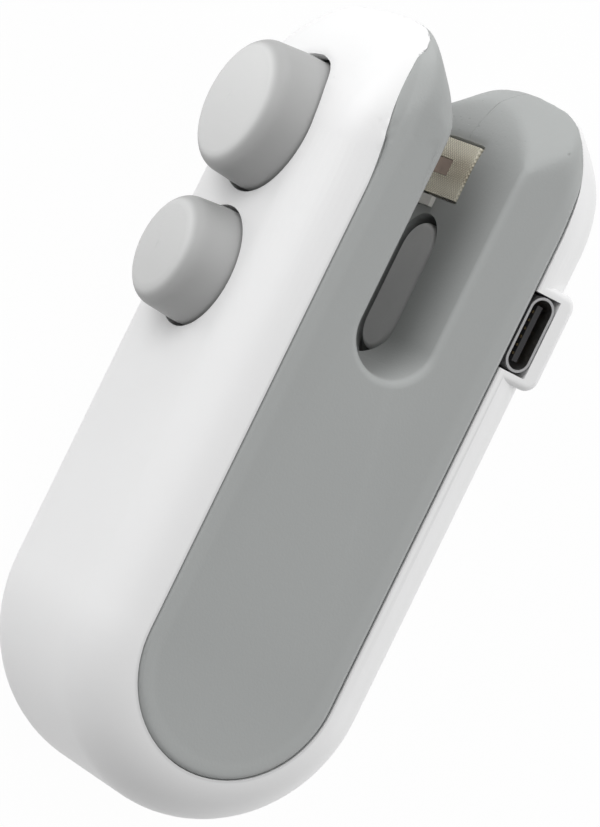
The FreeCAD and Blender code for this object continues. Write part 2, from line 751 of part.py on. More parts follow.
def cutter_blade():
    """A spear-point blade: its two slanted edges meet at a point that crosses the slot."""
    half = blade_length / 2
    x0 = blade_x - blade_thickness / 2
    point = blade_point / 2
    plate = polygon([
        (x0, blade_tip_y, middle - point), (x0, blade_tip_y, middle + point),
        (x0, blade_root_y, middle + half), (x0, blade_root_y + blade_seat, middle + half),
        (x0, blade_root_y + blade_seat, middle - half), (x0, blade_root_y, middle - half),
    ]).extrude(Vector(blade_thickness, 0, 0))
    hone = [e for e in plate.Edges if e.BoundBox.YMax < blade_root_y + 1e-6 and span(e, "x") < 1e-6]
    plate = plate.makeChamfer(blade_thickness * 0.4, hone)
    return plate.cut(bar_along(blade_x - 1, blade_x + 1, blade_pin_radius + seam_gap / 2, pin_hole_y))


def blade_pin():
    return bar_along(blade_x - cut_head_width / 2, cut_head_x1, blade_pin_radius, pin_hole_y)


def spring(x, mean_radius, wire):
    """A compression spring round a stem, between the guide and the underside of its button."""
    low = guide_high_y + wire / 2 + seam_gap
    height = cap_under_y - wire / 2 - seam_gap - low
    half_turn = math.pi / wire_sides
    corner = wire / 2 / math.cos(half_turn)
    corners = []
    for n in range(wire_sides):
        angle = half_turn * (2 * n + 1)
        corners.append((mean_radius + corner * math.cos(angle), 0, corner * math.sin(angle)))
    section = polygon(corners).OuterWire
    coil = Part.makeHelix(height / spring_turns, height, mean_radius)
    solid = Part.Wire(coil.Edges).makePipeShell([section], True, True)
    solid.rotate(Vector(0, 0, 0), Vector(1, 0, 0), -90)
    solid.translate(Vector(x, low, middle))
    return solid


def button_guide():
    """The plate between the covers that guides both plungers and carries their springs."""
    edge = shell_wall + seam_gap
    low = guide_low_y - 1
    high = guide_high_y + 1
    plate = box(guide_start_x, guide_end_x, guide_low_y, guide_high_y, edge, body_thickness - edge)
    plate = plate.makeFillet(guide_corner, [e for e in plate.Edges if span(e, "y") > 1])
    for x, radius in ((seal_x, seal_stem_radius), (cut_x, cut_stem_radius)):
        plate = plate.cut(rod(x, middle, radius + running_gap, low, high))
    gap = seam_gap * 2
    key_low_z = lead_z - lead_radius
    plate = plate.cut(box(key_x0 - gap, key_x1 + gap, low, high, key_low_z - gap, key_high_z + gap))
    plate = plate.cut(box(guide_start_x - 1, key_x1, low, high, key_low_z - gap, lead_z + lead_radius + gap))
    return plate.common(body_form(edge)).cut(slot_form(slot_lining + seam_gap / 2))


def anvil_strip():
    """The bar that the film lies on while the blade crosses it, with a flange behind the lining."""
    bar = side_stadium(anvil_half_width, anvil_low_x, anvil_high_x, anvil_back_y - seam_gap, anvil_face_y)
    bar = bar.makeFillet(anvil_round, [e for e in bar.Edges if e.BoundBox.YMin > anvil_face_y - 1e-6])
    flange = side_stadium(collar_radius, anvil_low_x, anvil_high_x, anvil_rear_y, anvil_back_y)
    return join([bar, flange])


def heater_holder():
    """Ceramic block behind the lining: a pedestal that lifts the strip to the slot's wall, and a small catch."""
    half_z = holder_length / 2
    end_x = heater_x + heater_width / 2 + holder_margin
    base = box(catch_x0, end_x, holder_rear_y, holder_front_y, middle - half_z, middle + half_z)
    base = base.cut(slot_form(slot_lining + seam_gap / 2))
    collar = side_stadium(collar_radius + seam_gap, anvil_low_x, anvil_high_x, holder_rear_y - 1, holder_front_y + 1)
    base = base.cut(collar)
    pedestal_x = heater_width / 2 - seam_gap
    pedestal_z = strap_half - seam_gap
    pedestal = box(heater_x - pedestal_x, heater_x + pedestal_x, holder_rear_y, tape_back_y - seam_gap,
                   middle - pedestal_z, middle + pedestal_z)
    catch_z = middle - ribbon_start - catch_length
    catch = box(catch_x0, catch_x0 + catch_width, holder_front_y, heater_wall_y + catch_proud,
                catch_z, catch_z + catch_length)
    foot = box(catch_x0, heater_x, holder_rear_y, holder_front_y, catch_z, catch_z + catch_length)
    whole = join([base, pedestal, catch, foot])
    slit = ribbon_thickness + seam_gap * 2
    slit_x = ribbon_width / 2 + seam_gap * 2
    for side in (-1, 1):
        z = middle + side * (strap_half + ribbon_thickness / 2)
        whole = whole.cut(box(heater_x - slit_x, heater_x + slit_x, holder_rear_y - 1, holder_front_y + 1,
                              z - slit / 2, z + slit / 2))
    return whole


def strap(width, thickness, low_y):
    """A thin strip bent over the pedestal: its face towards the slot and a leg down each end."""
    high_y = tape_back_y + thickness
    reach = strap_half + thickness
    outer = box(heater_x - width / 2, heater_x + width / 2, low_y, high_y, middle - reach, middle + reach)
    corners = [e for e in outer.Edges if e.BoundBox.YMin > high_y - 1e-6 and span(e, "x") > width / 2]
    outer = outer.makeFillet(thickness + seam_gap, corners)
    return outer.cut(box(heater_x - width, heater_x + width, low_y - 1, tape_back_y, middle - strap_half, middle + strap_half))


def heater_tape():
    """Glass-cloth tape over the ribbon, cut away over the ribbon's bare end."""
    low_y = holder_front_y + seam_gap
    half = ribbon_width / 2 + seam_gap
    tape = strap(heater_width, tape_thickness, low_y)
    window = box(heater_x - half, heater_x + half, low_y - 1, tape_face_y + 1, middle - heater_length, middle - ribbon_start)
    channel = box(heater_x - half, heater_x + half, low_y - 1, tape_back_y + ribbon_thickness + seam_gap / 5,
                  middle - ribbon_start - 1, middle + strap_half + ribbon_thickness + seam_gap / 5)
    return tape.cut(window).cut(channel)


def heating_ribbon():
    return strap(ribbon_width, ribbon_thickness, holder_rear_y)


def heater_terminals():
    """Brass clips behind the holder, each with a pin to the circuit board."""
    clips = []
    half = terminal_size / 2
    back_y = holder_rear_y - terminal_thickness - seam_gap
    for side in (-1, 1):
        z = middle + side * (strap_half + half / 2)
        plate = box(heater_x - half, heater_x + half, back_y, holder_rear_y - seam_gap, z - half, z + half)
        pin_z = middle + side * (strap_half + half)
        pin = rod(heater_x, pin_z, terminal_pin_radius, board_inner_y + seam_gap, back_y + seam_gap)
        clips.append(join([plate, pin]))
    return Part.makeCompound(clips)


def usb_shell():
    radius = socket_height / 2
    half = socket_width / 2 - radius
    outer = stadium(radius, socket_x - half, socket_x + half, socket_top - socket_depth, socket_top)
    floor_z = socket_top - socket_depth + socket_sheet
    inner = stadium(radius - socket_sheet, socket_x - half, socket_x + half, floor_z, socket_top + 1)
    shell = outer.cut(inner)
    shell.translate(Vector(0, socket_y, 0))
    return shell


def usb_tongue():
    floor_z = socket_top - socket_depth + socket_sheet + seam_gap / 2
    half_x = tongue_width / 2
    half_y = tongue_thickness / 2
    centre_x = socket_width / 2 - socket_height / 2
    tongue = box(socket_x - half_x, socket_x + half_x, socket_y - half_y, socket_y + half_y,
                 floor_z, socket_top - tongue_recess)
    root = stadium(socket_height / 2 - socket_sheet - seam_gap / 2, socket_x - centre_x, socket_x + centre_x,
                   floor_z, floor_z + tongue_root)
    root.translate(Vector(0, socket_y, 0))
    return join([tongue, root])


def usb_contacts():
    """Two rows of gold-plated contacts on the tongue's faces."""
    top = socket_top - tongue_recess - contact_width
    half = contact_width / 2
    rows = []
    for side in (-1, 1):
        y = socket_y + side * (tongue_thickness / 2 + contact_thickness / 2 + seam_gap / 10)
        for n in range(contact_count):
            x = socket_x + (n - (contact_count - 1) / 2) * contact_pitch
            rows.append(box(x - half, x + half, y - contact_thickness / 2, y + contact_thickness / 2,
                            top - contact_length, top))
    return Part.makeCompound(rows)


def circuit_board():
    board = box(board_start_x, board_end_x, board_outer_y, board_inner_y, board_margin, body_thickness - board_margin)
    return board.makeFillet(board_corner, [e for e in board.Edges if span(e, "y") > board_thickness / 2])


def board_parts():
    """Charge controller, power switch, inductor and capacitors, seated on the board's two faces."""
    parts = []
    for face_y, side, chips in ((board_inner_y, 1, inner_chips), (board_outer_y, -1, outer_chips)):
        for along, up, length, height, thickness in chips:
            x = board_start_x + along
            z = board_margin + up
            near_y = face_y + side * seam_gap
            far_y = near_y + side * thickness
            parts.append(box(x, x + length, min(near_y, far_y), max(near_y, far_y), z, z + height))
    return Part.makeCompound(parts)


def seal_switch():
    """Key under the rim of the large button that turns the strip on at the end of its travel."""
    case = box(key_x0, key_x1, guide_low_y, guide_high_y - key_cap, lead_z - lead_radius, key_high_z)
    return join([case, rod(seal_x, key_high_z - key_depth / 2, key_plunger, guide_low_y, guide_high_y)])


def switch_lead():
    """Two-core lead from the key round the end of the slot to the board."""
    start_x = key_x0 - seam_gap
    turn_x = battery_end_x + seam_gap + tab_thickness + lead_room
    centre_x = turn_x + lead_bend
    reach = lead_bend * math.cos(math.radians(45))
    path = Part.Wire([
        line((start_x, lead_y, lead_z), (centre_x, lead_y, lead_z)),
        arc((centre_x, lead_y, lead_z), (centre_x - reach, lead_y - lead_bend + reach, lead_z),
            (turn_x, lead_y - lead_bend, lead_z)),
        line((turn_x, lead_y - lead_bend, lead_z), (turn_x, board_inner_y + seam_gap, lead_z)),
    ])
    section = Part.Wire(Part.makeCircle(lead_radius, Vector(start_x, lead_y, lead_z), Vector(1, 0, 0)))
    return path.makePipeShell([section], True, False)


def battery_cell():
    """A round lithium cell: rolled groove near its positive end, insulating lip and a raised button."""
    r = battery_diameter / 2
    end = battery_length - cell_button_height
    groove = end - saddle_width - cell_groove_width
    step = cell_groove_width
    points = [
        (0, 0), (r - step, 0), (r, step), (r, groove - step), (r - cell_groove, groove), (r - cell_groove, groove + step),
        (r, groove + 2 * step), (r, end - cell_groove), (r - cell_groove, end), (cell_button_radius, end),
        (cell_button_radius, battery_length), (0, battery_length),
    ]
    profile = polygon([(battery_start_x + along, 0, middle + radius) for radius, along in points])
    return profile.revolve(Vector(battery_start_x, 0, middle), Vector(1, 0, 0), 360)


def battery_pads():
    """Foam between the cell and the saddles of both covers."""
    r = battery_diameter / 2
    pads = []
    for x in saddle_x:
        x0 = x - saddle_width / 2
        x1 = x + saddle_width / 2
        ring = bar_along(x0, x1, r + pad_foam - seam_gap).cut(bar_along(x0, x1, r + seam_gap))
        for z0, z1 in ((0, middle - r / 2), (middle + r / 2, body_thickness)):
            pads.append(ring.common(box(x0, x1, -foam_half, foam_half, z0, z1)))
    return Part.makeCompound(pads)


def battery_tab(positive):
    """Nickel strip welded to one end of the cell and soldered to the board."""
    y_end = board_inner_y + seam_gap
    half = tab_width / 2
    if positive:
        x0 = battery_end_x + seam_gap
        return box(x0, x0 + tab_thickness, y_end, tab_top, middle - half, middle + half)
    x0 = battery_start_x - seam_gap - tab_thickness
    upright = box(x0, x0 + tab_thickness, y_end, tab_top, middle - half, middle + half)
    run = box(x0, board_start_x + board_rib, y_end, y_end + tab_thickness, middle - half, middle + half)
    return join([upright, run])


def cover_screws():
    """Pan-head self-tapping screws that pull the back cover to the front cover's posts."""
    screws = []
    low = screw_seat_z - screw_head_height
    cross_top = low + screw_cross_depth
    reach = screw_head_radius / 2
    for x in screw_x:
        head = post(x, 0, screw_head_radius, low, screw_seat_z - seam_gap)
        head = head.makeFillet(screw_head_round, [e for e in head.Edges if e.BoundBox.ZMax < low + 1e-6])
        shank = post(x, 0, screw_radius - seam_gap / 2, screw_seat_z - seam_gap * 2, screw_seat_z + screw_length)
        cross = join([
            box(x - reach, x + reach, -screw_cross / 2, screw_cross / 2, 0, cross_top),
            box(x - screw_cross / 2, x + screw_cross / 2, -reach, reach, 0, cross_top),
        ])
        screws.append(join([head, shank]).cut(cross))
    return Part.makeCompound(screws)


pieces = {
    "housing": housing(),
    "front_cover": cover(True),
    "back_cover": cover(False),
    "seal_button": button_cap(seal_x, seal_base_radius, seal_spigot_radius, seal_flange_y),
    "seal_plunger": seal_plunger(),
    "seal_pad": seal_pad(),
    "seal_spring": spring(seal_x, seal_spring_radius, seal_spring_wire),
    "cut_button": button_cap(cut_x, cut_base_radius, cut_spigot_radius, cut_flange_y),
    "blade_carrier": blade_carrier(),
    "cutter_blade": cutter_blade(),
    "blade_pin": blade_pin(),
    "cut_spring": spring(cut_x, cut_spring_radius, cut_spring_wire),
    "button_guide": button_guide(),
    "anvil_strip": anvil_strip(),
    "heater_holder": heater_holder(),
    "heater_tape": heater_tape(),
    "heating_ribbon": heating_ribbon(),
    "heater_terminals": heater_terminals(),
    "usb_shell": usb_shell(),
    "usb_tongue": usb_tongue(),
    "usb_contacts": usb_contacts(),
    "circuit_board": circuit_board(),
    "board_parts": board_parts(),
    "seal_switch": seal_switch(),
    "switch_lead": switch_lead(),
    "battery_cell": battery_cell(),
    "battery_pads": battery_pads(),
    "battery_tab_plus": battery_tab(True),
    "battery_tab_minus": battery_tab(False),
    "cover_screws": cover_screws(),
}

for name, shape in pieces.items():
    shape.exportStep("parts/%s.step" % name)
    print("%-18s solids %d valid %s volume %.2f" % (name, len(shape.Solids), shape.isValid(), shape.Volume))
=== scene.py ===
# %% [markdown]
# # Dressing a hand-held bag sealer
# The solids of the part come packed as one model: a white side shell, two grey covers with a slot between
# their jaws, two push buttons, and the works inside. This lesson keeps those solids where they are and
# gives each one the finish of the real piece. Where a piece needs detail that a solid can't carry, a new
# mesh takes its place. Everything is in metres: X runs towards the jaw tips, Y towards the buttons and Z up
# through the front cover.

# %% Load the part
import math

import bmesh
import bpy
from mathutils import Matrix, Vector
from mathutils.bvhtree import BVHTree


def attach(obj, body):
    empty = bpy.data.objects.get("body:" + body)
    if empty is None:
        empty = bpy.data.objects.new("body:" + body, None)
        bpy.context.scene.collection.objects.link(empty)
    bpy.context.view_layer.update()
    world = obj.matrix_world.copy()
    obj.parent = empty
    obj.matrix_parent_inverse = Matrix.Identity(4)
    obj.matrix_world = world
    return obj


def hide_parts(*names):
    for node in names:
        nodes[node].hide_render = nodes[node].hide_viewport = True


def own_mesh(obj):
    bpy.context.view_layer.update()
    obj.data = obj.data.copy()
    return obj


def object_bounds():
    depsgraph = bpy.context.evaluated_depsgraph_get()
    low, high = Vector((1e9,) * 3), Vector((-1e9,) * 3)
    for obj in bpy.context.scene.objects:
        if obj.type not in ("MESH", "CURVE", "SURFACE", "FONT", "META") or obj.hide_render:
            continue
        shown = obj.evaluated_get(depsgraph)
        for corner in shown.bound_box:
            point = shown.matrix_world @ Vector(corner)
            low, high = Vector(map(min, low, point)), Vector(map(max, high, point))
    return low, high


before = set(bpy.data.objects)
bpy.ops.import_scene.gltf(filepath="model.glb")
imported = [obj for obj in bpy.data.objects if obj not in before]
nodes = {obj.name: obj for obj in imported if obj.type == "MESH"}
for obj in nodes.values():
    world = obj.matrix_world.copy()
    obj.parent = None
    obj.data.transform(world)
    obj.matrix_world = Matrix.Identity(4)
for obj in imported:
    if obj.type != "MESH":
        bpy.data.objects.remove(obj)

cad_box = [[float(v) for v in corner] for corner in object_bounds()]
print("pieces:", len(nodes), "box in mm:", [[round(v * 1000, 2) for v in corner] for corner in cad_box])

# %% [markdown]
# ## The camera
# A product picture is taken with a long lens from some way off, so that the near end isn't swollen. The
# part is turned until its long axis climbs to the upper right, and the camera leans 28.7 degrees towards
# the buttons, so the front cover, the button side and the inner wall of the slot all show. A camera's own
# axes are its right, its up and the direction back towards it, and they are the columns of its matrix.

# %% Camera
lean = math.radians(28.66)
climb = math.radians(63.95)
back = Vector((0, math.sin(lean), math.cos(lean)))
across = Vector((0, -math.cos(lean), math.sin(lean)))
along = Vector((1, 0, 0))
right = along * math.cos(climb) + across * math.sin(climb)
up = along * math.sin(climb) - across * math.cos(climb)
middle = Vector((-0.00044, 0, 0.0151))
aim_right, aim_down = 0.00045, 0.00033
target = middle + right * aim_right - up * aim_down
distance = 0.5794

lens = bpy.data.cameras.new("camera")
lens.lens = 226.3
lens.sensor_width = 36
lens.clip_start = 0.01
lens.clip_end = 10
camera = bpy.data.objects.new("camera", lens)
bpy.context.scene.collection.objects.link(camera)
turn = Matrix((right, up, back)).transposed().to_4x4()
camera.matrix_world = Matrix.Translation(target + back * distance) @ turn
bpy.context.scene.camera = camera
print("camera at", [round(v, 4) for v in camera.matrix_world.translation])

# %% [markdown]
# ## Writing materials as sums
# A procedural finish is a sum of masks: a noise here, a band there, a little more of this where that is
# high. Wired by hand it takes dozens of nodes. A small class that wraps a socket lets Python's own signs
# add them, so that `1 - mask * 0.3` makes two Math nodes and returns the last one's output.

# %% Two small classes
class Reading:
    """One output socket of a finish. Sums on it add Math nodes."""

    def __init__(self, finish, socket):
        self.finish = finish
        self.socket = socket

    def math(self, operation, other=0.0, swapped=False):
        """A Math node on this value and another, which comes first where they are swapped."""
        first, second = (other, self) if swapped else (self, other)
        return self.finish.add("ShaderNodeMath", {"operation": operation}, {0: first, 1: second})

    def __add__(self, other):
        return self.math("ADD", other)

    def __radd__(self, other):
        return self.math("ADD", other, swapped=True)

    def __sub__(self, other):
        return self.math("SUBTRACT", other)

    def __rsub__(self, other):
        return self.math("SUBTRACT", other, swapped=True)

    def __mul__(self, other):
        return self.math("MULTIPLY", other)

    def __rmul__(self, other):
        return self.math("MULTIPLY", other, swapped=True)


class Finish:
    """A material under construction, with its Principled shader."""

    def __init__(self, name, **constants):
        self.material = bpy.data.materials.new(name)
        self.material.use_nodes = True
        self.tree = self.material.node_tree
        self.shader = self.tree.nodes["Principled BSDF"]
        for key, value in constants.items():
            self.shader.inputs[key.replace("_", " ")].default_value = value

    def add(self, kind, settings=None, sockets=None, output=0):
        """A node of that kind: its settings first, then the values or links of its sockets."""
        made = self.tree.nodes.new(kind)
        for key, value in (settings or {}).items():
            setattr(made, key, value)
        for key, value in (sockets or {}).items():
            if isinstance(value, Reading):
                self.tree.links.new(value.socket, made.inputs[key])
            else:
                made.inputs[key].default_value = value
        return Reading(self, made.outputs[output])

    def wear(self, **links):
        """Links what changes over the surface to the shader's sockets."""
        for key, value in links.items():
            self.tree.links.new(value.socket, self.shader.inputs[key.replace("_", " ")])
        return self.material


print("classes ready:", Reading.__name__, Finish.__name__)

# %% [markdown]
# ## The words every finish uses
# Each finish below is built from the same few patterns: a position on the piece, a soft noise at a chosen
# size, a mask that rises between two values, a mix of two colours, and a bump whose depth is a real depth.
# Noise scales are written as the size of the blotch in millimetres, because that is what one sees on the
# real thing.

# %% Patterns
def place(finish):
    """The position on the piece, as a vector in metres."""
    return finish.add("ShaderNodeTexCoord", output=3)


def millimetres(finish, spot):
    """The three numbers of a position, in millimetres."""
    split = finish.add("ShaderNodeSeparateXYZ", sockets={0: spot})
    return [Reading(finish, split.socket.node.outputs[n]) * 1000 for n in range(3)]


def noise(finish, spot, size_mm, detail=2.0, stretch=(1, 1, 1)):
    """Soft noise from 0 to 1, with blotches of about that size."""
    moved = finish.add("ShaderNodeMapping", sockets={0: spot, "Scale": stretch})
    sockets = {"Vector": moved, "Scale": 1000 / size_mm, "Detail": detail}
    return finish.add("ShaderNodeTexNoise", sockets=sockets)


def rise(finish, value, low, high):
    """0 below low, 1 above high, smooth between."""
    return finish.add("ShaderNodeMapRange", {"interpolation_type": "SMOOTHSTEP"},
                      {"Value": value, "From Min": low, "From Max": high})


def mix(finish, share, first, second):
    """Two colours mixed by a share from 0 to 1."""
    settings = {"data_type": "RGBA"}
    colours = [c if isinstance(c, Reading) else (*c, 1) for c in (first, second)]
    return finish.add("ShaderNodeMix", settings, {0: share, 6: colours[0], 7: colours[1]}, output=2)


def bump(finish, height, depth_mm):
    """A bump whose full height is a real depth."""
    sockets = {"Height": height, "Distance": depth_mm / 1000, "Strength": 1.0}
    return finish.add("ShaderNodeBump", sockets=sockets)


def shade(colour, factor):
    """The same colour, darker or lighter."""
    return tuple(min(1.0, c * factor) for c in colour)


print("patterns ready")

# %% [markdown]
# ## Where the seam runs
# A thin line of painted shade darkens the white shell along its seam with the grey covers, where the parting
# gap would cast its shadow. The covers' rim beside it is polished and carries a painted highlight. Both
# follow the same outline: a straight run on each side, and a half circle round the bottom end. The distance
# to that outline is a short sum, so the same few nodes serve every finish that borders on the seam.

# %% Distance to the seam
seam_half = 12.45
end_centre = 28.5


def from_seam(x, y):
    """Millimetres from the covers' outline: negative on the cover, positive on the shell."""
    beyond = (x + end_centre).math("MINIMUM", 0.0)
    return (beyond * beyond + y * y).math("SQRT") - seam_half


print("outline: half width", seam_half, "mm, round about x =", -end_centre, "mm")

# %% [markdown]
# ## White shell
# The side shell is glossy white ABS. Straight from the mould it has a very slight orange peel and a gloss
# that varies where hands have held it. A thin grey line of painted shade runs along the seam, standing for
# the shadow of the parting gap, and the surface is rougher there. At the jaw tips the seam leaves the plain
# outline, so the painted shade fades out before them.

# %% Finish of the white shell
seam_shade_band = (0.06, 0.42)
seam_shade_fade = (22.0, 30.0)


def white_plastic(name, colour):
    finish = Finish(name, IOR=1.48)
    spot = place(finish)
    x, y, _ = millimetres(finish, spot)
    cloud = noise(finish, spot, 34.0)
    smudge = noise(finish, spot, 7.0, 4.0)
    grain = noise(finish, spot, 0.45, 2.0)
    short_of_tips = 1 - rise(finish, x, *seam_shade_fade)
    # Painted shade: the seam line stands for the parting gap's shadow. It darkens the colour and raises the
    # roughness.
    painted_seam_shade = (1 - rise(finish, from_seam(x, y), *seam_shade_band)) * short_of_tips * (0.55 + smudge * 0.5)
    base = mix(finish, cloud, shade(colour, 0.985), shade(colour, 1.01))
    # The painted shade of the seam is mixed into the colour here.
    base = mix(finish, painted_seam_shade * 0.5, base, shade(colour, 0.62))
    rough = 0.34 + smudge * 0.12 + painted_seam_shade * 0.2
    peel = noise(finish, spot, 2.6, 1.0)
    return finish.wear(Base_Color=base, Roughness=rough, Normal=bump(finish, peel * 0.7 + grain * 0.3, 0.012))


shell_white = white_plastic("shell_white", (0.86, 0.86, 0.862))
print("made", shell_white.name)

# %% [markdown]
# ## Grey covers
# The covers are matt grey ABS with the fine grain of a spark-eroded mould. The raised rim round the panel
# is rubbed smoother, and it is painted a little paler than the hollow inside it, as a highlight on its crest.

# %% Finish of the covers
rim_inner = (-2.6, -1.4)
rim_outer = (-0.5, 0.0)


def grained_grey(name, colour, polish_and_highlight_mask, paler=1.16, share=0.35):
    finish = Finish(name, IOR=1.47)
    spot = place(finish)
    cloud = noise(finish, spot, 22.0, 3.0)
    speck = noise(finish, spot, 0.8, 3.0)
    grain = noise(finish, spot, 0.32, 2.0)
    polish_and_highlight = polish_and_highlight_mask(finish, *millimetres(finish, spot))
    base = mix(finish, cloud * 0.7 + speck * 0.3, shade(colour, 0.965), shade(colour, 1.035))
    # Painted highlight: where the mask is high, on a rim's crest or a dome's middle, the grey is mixed paler.
    # The lower roughness is real polish.
    base = mix(finish, polish_and_highlight * share, base, shade(colour, paler))
    rough = 0.5 + speck * 0.1 - polish_and_highlight * 0.12
    return finish.wear(Base_Color=base, Roughness=rough, Normal=bump(finish, grain, 0.014))


def rim_polish_and_highlight(finish, x, y, z):
    """1 on the rim beside the seam, 0 in the hollow of the panel."""
    seam = from_seam(x, y)
    return rise(finish, seam, *rim_inner) * (1 - rise(finish, seam, *rim_outer))


# The rim's paler colour is a painted highlight on the crest of the lip.
cover_grey = grained_grey("cover_grey", (0.378, 0.39, 0.386), rim_polish_and_highlight)
print("made", cover_grey.name)

# %% [markdown]
# ## Buttons
# The two buttons are the same grey plastic, polished smooth in the middle of the dome where a thumb presses.
# The middle of the dome is also painted much paler, as a painted highlight of the key light on it. The mask
# is a circle round the button's middle, and it is held to the dome by a second mask on the height above the
# casing.

# %% Finish of the buttons
button_middle_z = 15.1
dome_height = (22.5, 24.2)
button_grey = (0.40, 0.402, 0.40)


def dome_polish_and_highlight(button_x, radius):
    """1 in the middle of a button's dome, 0 down its side. Both sizes are in millimetres."""
    def polish_and_highlight_mask(finish, x, y, z):
        dx, dz = x - button_x, z - button_middle_z
        away = (dx * dx + dz * dz).math("SQRT")
        return (1 - rise(finish, away, radius * 0.82, radius * 0.96)) * rise(finish, y, *dome_height)
    return polish_and_highlight_mask


# Painted highlight: each dome's middle is painted 1.8 or 1.6 times paler, for the light that falls on it.
seal_grey = grained_grey("seal_button_grey", button_grey, dome_polish_and_highlight(27.15, 7.8), paler=1.8, share=0.9)
cut_grey = grained_grey("cut_button_grey", button_grey, dome_polish_and_highlight(9.4, 6.4), paler=1.6, share=0.9)
print("made", seal_grey.name, "and", cut_grey.name)

# %% [markdown]
# ## Moulded plastics and rubber of the works
# Inside, each piece has its own plain moulding: black for the switch and the socket's tongue, natural nylon
# for the plunger and the blade's carrier, grey for the pressing bar. One recipe covers them, with the
# colour, gloss and grain of each.

# %% Moulded finish
def moulded(name, colour, rough, grain_mm=0.4, depth_mm=0.012):
    finish = Finish(name, IOR=1.5)
    spot = place(finish)
    cloud = noise(finish, spot, 6.0, 3.0)
    relief = bump(finish, noise(finish, spot, grain_mm, 2.0), depth_mm)
    base = mix(finish, cloud, shade(colour, 0.88), shade(colour, 1.1))
    return finish.wear(Base_Color=base, Roughness=rough - 0.05 + cloud * 0.1, Normal=relief)


moulded_finishes = {
    "anvil_strip": moulded("bar_grey", (0.62, 0.62, 0.62), 0.5),
    "button_guide": moulded("guide_grey", (0.3, 0.3, 0.3), 0.5),
    "seal_plunger": moulded("nylon_seal", (0.72, 0.71, 0.67), 0.42),
    "blade_carrier": moulded("nylon_cutter", (0.72, 0.71, 0.67), 0.42),
    "seal_pad": moulded("silicone_grey", (0.36, 0.34, 0.32), 0.6, 0.6),
    "heater_holder": moulded("heatproof_white", (0.78, 0.77, 0.73), 0.55, 0.3),
    "usb_tongue": moulded("socket_black", (0.035, 0.035, 0.037), 0.38),
    "board_parts": moulded("package_black", (0.04, 0.04, 0.042), 0.5, 0.2),
    "seal_switch": moulded("key_black", (0.05, 0.05, 0.05), 0.45),
    "switch_lead": moulded("lead_red", (0.45, 0.04, 0.03), 0.4),
    "battery_pads": moulded("foam_black", (0.06, 0.06, 0.06), 0.9, 0.5, 0.08),
}
print("moulded finishes:", len(moulded_finishes))

# %% [markdown]
# ## Metals
# Drawn wire, ground steel, nickel and brass differ in colour and in which way their fine lines run. Noise
# that is stretched along one axis gives those lines, in the roughness and in a bump a few thousandths of a
# millimetre deep.

# %% Metal finish
def metal(name, colour, rough, stretch, stain=0.15):
    finish = Finish(name, Metallic=1.0)
    spot = place(finish)
    lines = noise(finish, spot, 0.5, 3.0, stretch)
    patch = noise(finish, spot, 3.0, 3.0)
    base = mix(finish, lines, shade(colour, 0.9), shade(colour, 1.08))
    base = mix(finish, rise(finish, patch, 0.55, 0.75) * stain, base, shade(colour, 0.5))
    gloss = rough + lines * 0.14 + patch * 0.06
    return finish.wear(Base_Color=base, Roughness=gloss, Normal=bump(finish, lines, 0.006))


metal_finishes = {
    "cutter_blade": metal("blade_steel", (0.72, 0.73, 0.74), 0.18, (1, 6, 0.3)),
    "blade_pin": metal("pin_steel", (0.62, 0.63, 0.64), 0.25, (0.3, 4, 4)),
    "seal_spring": metal("spring_wire_seal", (0.6, 0.61, 0.63), 0.24, (1, 4, 1)),
    "cut_spring": metal("spring_wire_cutter", (0.6, 0.61, 0.63), 0.24, (1, 4, 1)),
    "heating_ribbon": metal("ribbon_browned", (0.20, 0.15, 0.12), 0.34, (4, 4, 0.3), 0.6),
    "heater_terminals": metal("brass_clip", (0.78, 0.60, 0.30), 0.26, (4, 1, 0.4), 0.3),
    "usb_shell": metal("socket_steel", (0.62, 0.62, 0.63), 0.24, (4, 4, 0.4)),
    "usb_contacts": metal("contact_gold", (0.9, 0.68, 0.32), 0.2, (4, 4, 0.4)),
    "battery_tab_plus": metal("nickel_plus", (0.66, 0.64, 0.6), 0.26, (0.4, 4, 4)),
    "battery_tab_minus": metal("nickel_minus", (0.66, 0.64, 0.6), 0.26, (0.4, 4, 4)),
    "cover_screws": metal("screw_dark", (0.2, 0.2, 0.21), 0.32, (4, 4, 0.5)),
}
print("metal finishes:", len(metal_finishes))

# %% [markdown]
# ## Woven tape over the heating strip
# The strip that melts the film is covered with glass cloth that has a release coating. The cloth is beige,
# its yarns cross at right angles, and heat has browned it over the ribbon. Two sine waves at right angles
# give the weave.

# %% Finish of the tape
yarn_pitch = 0.5
ribbon_x = 31.5
browned = (0.36, 0.30, 0.21)


def woven(name, colour):
    finish = Finish(name, IOR=1.4)
    spot = place(finish)
    x, _, z = millimetres(finish, spot)
    warp = (x * (2 * math.pi / yarn_pitch)).math("SINE")
    weft = (z * (2 * math.pi / yarn_pitch)).math("SINE")
    weave = warp * weft * 0.5 + 0.5
    away = (x - ribbon_x).math("ABSOLUTE")
    burnt = (1 - rise(finish, away, 0.6, 2.4)) * (0.35 + noise(finish, spot, 1.2, 2.0) * 0.5)
    base = mix(finish, weave, shade(colour, 0.74), shade(colour, 1.08))
    base = mix(finish, burnt * (1 - rise(finish, weave, 0.72, 0.9)), base, browned)
    return finish.wear(Base_Color=base, Roughness=0.55 + weave * 0.15, Normal=bump(finish, weave, 0.06))


tape_beige = woven("tape_beige", (0.92, 0.87, 0.72))
print("made", tape_beige.name)

# %% [markdown]
# ## Board and battery
# The circuit board is fibre-glass with a green mask, under which the copper shows as slightly paler tracks.
# The cell wears a shrunk sleeve with faint creases running along it, and past the sleeve's end the bare metal
# shows.

# %% Finish of the board
mask_green, track_green = (0.012, 0.09, 0.035), (0.03, 0.2, 0.07)


